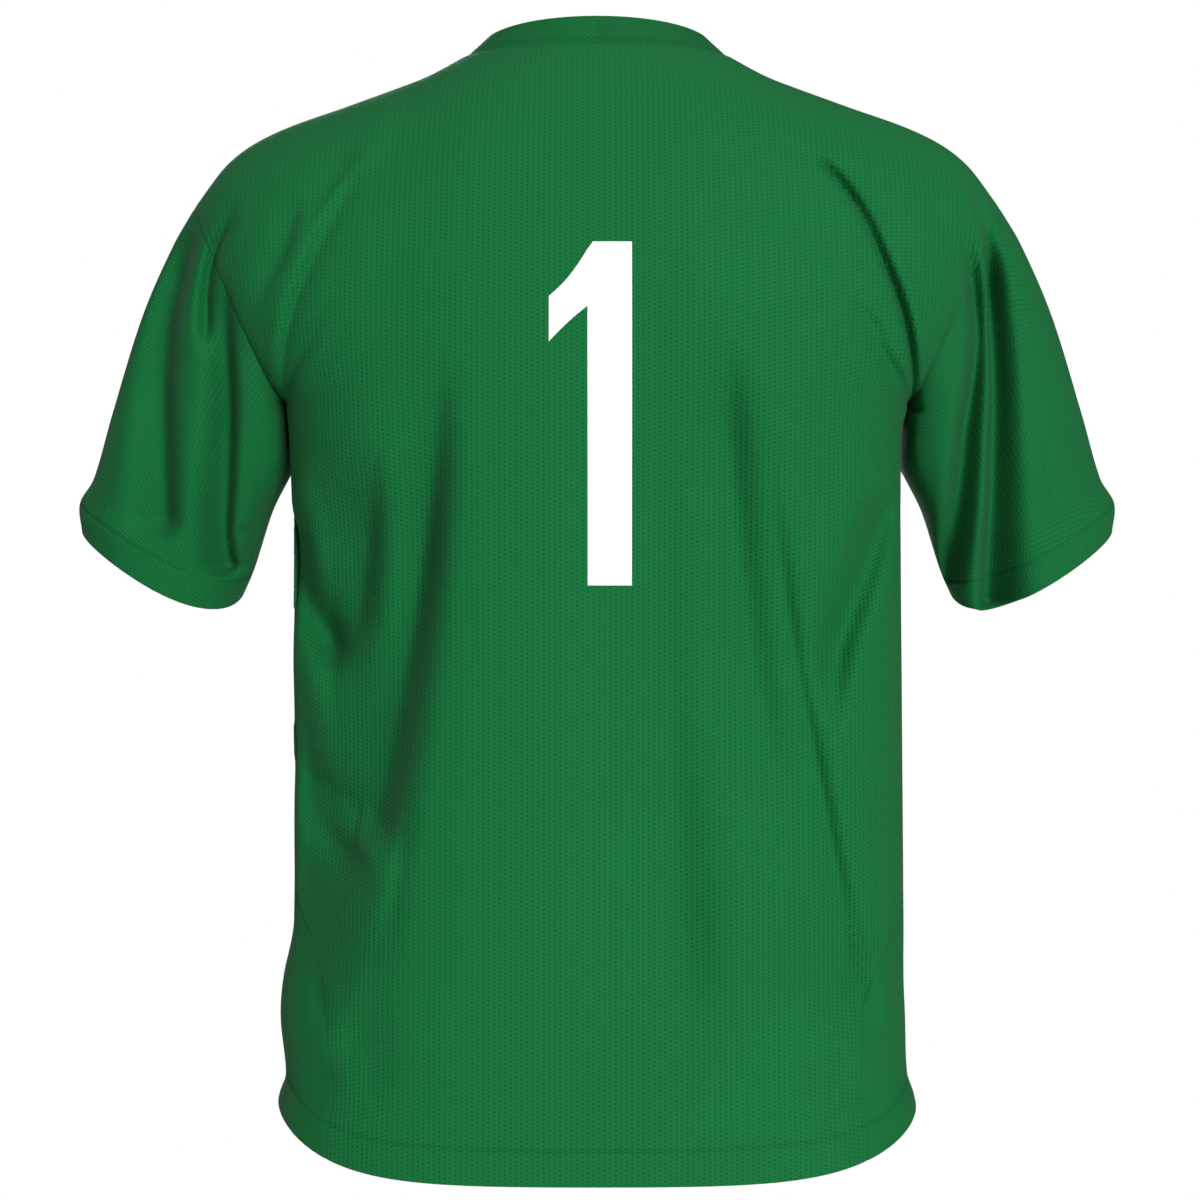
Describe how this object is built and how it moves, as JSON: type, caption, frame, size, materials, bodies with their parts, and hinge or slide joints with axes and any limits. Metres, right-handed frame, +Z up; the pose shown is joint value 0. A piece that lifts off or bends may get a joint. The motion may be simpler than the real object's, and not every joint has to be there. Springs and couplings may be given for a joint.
{
  "type": "goalkeeper smock, a short-sleeved knitted jersey",
  "caption": "Short-sleeved crew-neck goalkeeper's jersey in green knit with a plain white number on the back, holding the hollow form of a general wearer.",
  "frame": {"origin": "on the centre line, level with the two points where the neck meets the shoulders, where the wearer's shoulders hold the jersey", "axes": "+Z up along the body, +Y towards the back of the jersey, +X towards the wearer's left arm"},
  "size_m": [0.706, 0.2682, 0.7368],
  "materials": {
    "dotted_knit": "matt green knit with fine staggered dimples",
    "sleeve_knit": "matt green knit with fine close dimples, run along the arm",
    "plain_knit": "smooth matt green knit",
    "rib_knit": "fine green rib",
    "white_print": "smooth white heat-pressed film"
  },
  "bodies": {
    "root": {"back_panel": "dotted_knit", "front_panel": "dotted_knit", "side_insert_left": "plain_knit", "side_insert_right": "plain_knit", "sleeve_left": "sleeve_knit", "sleeve_right": "sleeve_knit", "neckband": "rib_knit", "number_one": "white_print"}
  },
  "joints": []
}
